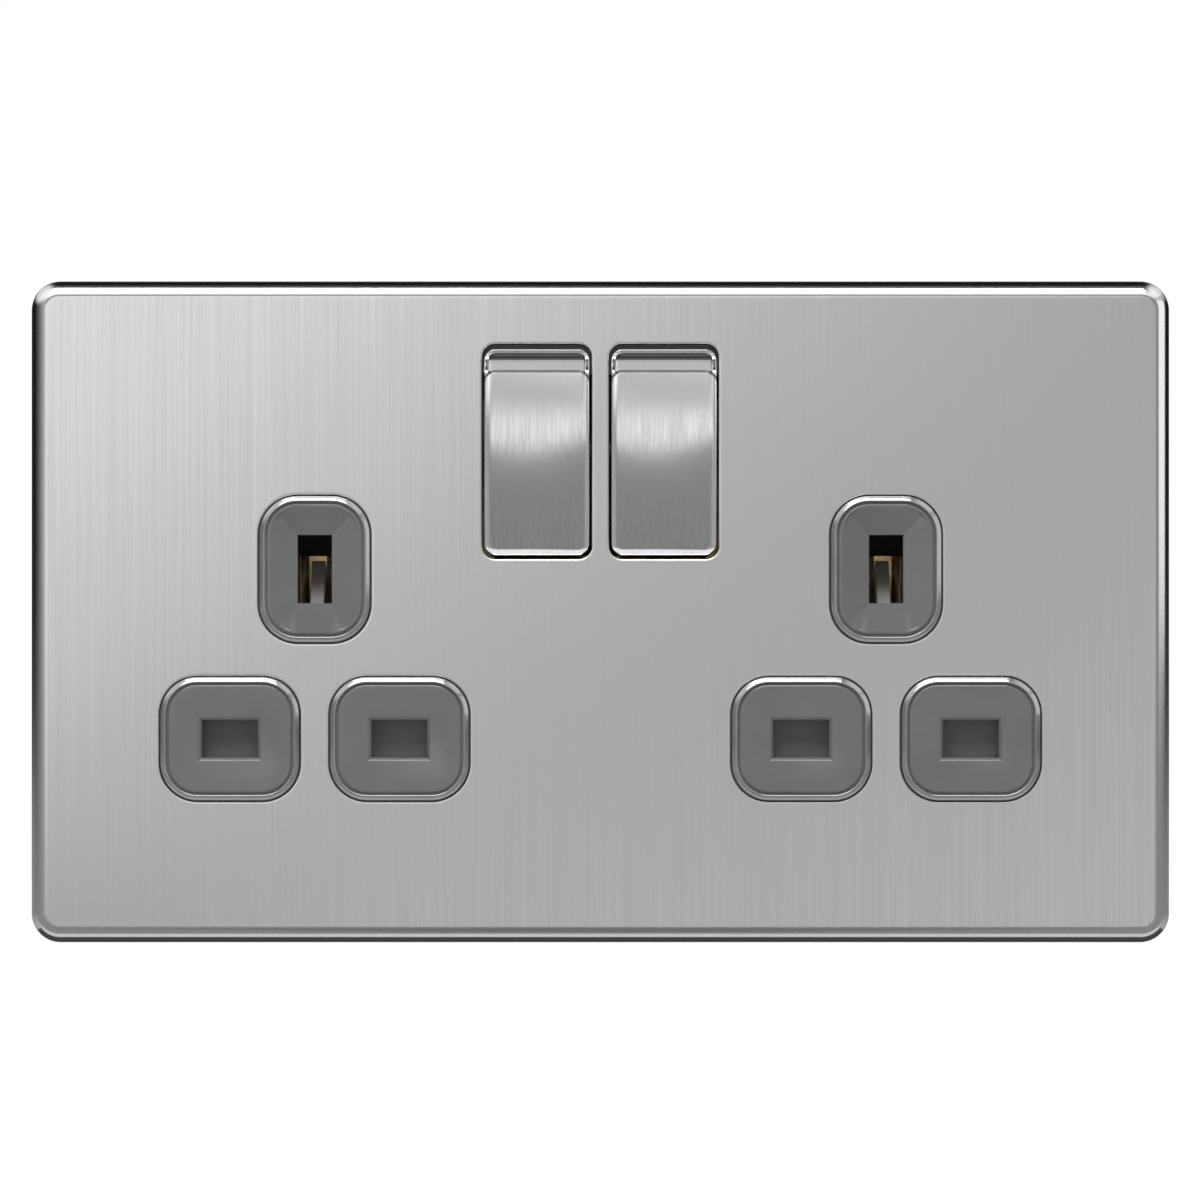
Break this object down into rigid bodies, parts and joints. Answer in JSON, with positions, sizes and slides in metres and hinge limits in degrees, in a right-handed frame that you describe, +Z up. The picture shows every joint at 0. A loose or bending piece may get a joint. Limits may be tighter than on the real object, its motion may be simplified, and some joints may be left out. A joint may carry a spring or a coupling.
{
  "type": "twin switched wall socket",
  "caption": "Flush twin switched wall socket with a screwless brushed-metal plate, shuttered three-pin outlets and rocker switches between them.",
  "frame": {"origin": "centre of the plate on the wall plane, where the carrier frame rests", "axes": "+Y into the wall, +X right and +Z up seen from the room"},
  "size_m": [0.1492, 0.0274, 0.0866],
  "materials": {
    "plate_steel": "brushed",
    "cap_steel": "brushed",
    "grey_plastic": "gloss",
    "frame_plastic": "matte",
    "rear_plastic": "matte",
    "rocker_plastic": "matte",
    "pale_plastic": "satin",
    "shutter_plastic": "satin",
    "brass": "satin",
    "spring_steel": "satin",
    "screw_steel": "plated"
  },
  "bodies": {
    "module": {"clip_frame": "frame_plastic", "front_moulding": "grey_plastic", "rear_moulding": "rear_plastic", "live_feed_bar": "brass", "neutral_bar": "brass", "earth_bar": "brass", "earth_spring": "spring_steel", "terminal_screws": "screw_steel", "housing_screws": "screw_steel", "earth_terminal_left": "brass", "neutral_terminal": "brass", "live_terminal": "brass", "earth_terminal_right": "brass", "live_contact_left": "brass", "shutter_spring_left": "spring_steel", "live_contact_right": "brass", "shutter_spring_right": "spring_steel"},
    "cover": {"front_plate": "plate_steel"},
    "rocker_left": {"rocker_cap_left": "cap_steel", "rocker_body_left": "rocker_plastic", "plunger_left": "pale_plastic", "plunger_spring_left": "spring_steel"},
    "seesaw_left": {"switch_contact_left": "brass"},
    "shutter_slide_left": {"shutter_left": "shutter_plastic"},
    "rocker_right": {"rocker_cap_right": "cap_steel", "rocker_body_right": "rocker_plastic", "plunger_right": "pale_plastic", "plunger_spring_right": "spring_steel"},
    "seesaw_right": {"switch_contact_right": "brass"},
    "shutter_slide_right": {"shutter_right": "shutter_plastic"}
  },
  "joints": [
    {"name": "cover_pull", "type": "slide", "parent": "module", "child": "cover", "axis": [0, -1, 0], "range_m": [0, 0.02]},
    {"name": "rocker_left_tilt", "type": "hinge", "parent": "module", "child": "rocker_left", "pos_m": [-0.00831, 0.0015, 0.021], "axis": [1, 0, 0], "range_deg": [-10, 0]},
    {"name": "seesaw_left_tilt", "type": "hinge", "parent": "module", "child": "seesaw_left", "pos_m": [-0.00831, 0.0093, 0.021], "axis": [1, 0, 0], "range_deg": [0, 16]},
    {"name": "shutter_left_slide", "type": "slide", "parent": "module", "child": "shutter_slide_left", "axis": [0, 0, -1], "range_m": [0, 0.0054], "stiffness_N_per_m": 120, "springref_m": -0.004, "deforming": ["shutter_spring_left"]},
    {"name": "rocker_right_tilt", "type": "hinge", "parent": "module", "child": "rocker_right", "pos_m": [0.00831, 0.0015, 0.021], "axis": [1, 0, 0], "range_deg": [-10, 0]},
    {"name": "seesaw_right_tilt", "type": "hinge", "parent": "module", "child": "seesaw_right", "pos_m": [0.00831, 0.0093, 0.021], "axis": [1, 0, 0], "range_deg": [0, 16]},
    {"name": "shutter_right_slide", "type": "slide", "parent": "module", "child": "shutter_slide_right", "axis": [0, 0, -1], "range_m": [0, 0.0054], "stiffness_N_per_m": 120, "springref_m": -0.004, "deforming": ["shutter_spring_right"]}
  ],
  "couplings": [
    {"joint": "seesaw_left_tilt", "follows": "rocker_left_tilt", "ratio": -1.6},
    {"joint": "seesaw_right_tilt", "follows": "rocker_right_tilt", "ratio": -1.6}
  ]
}
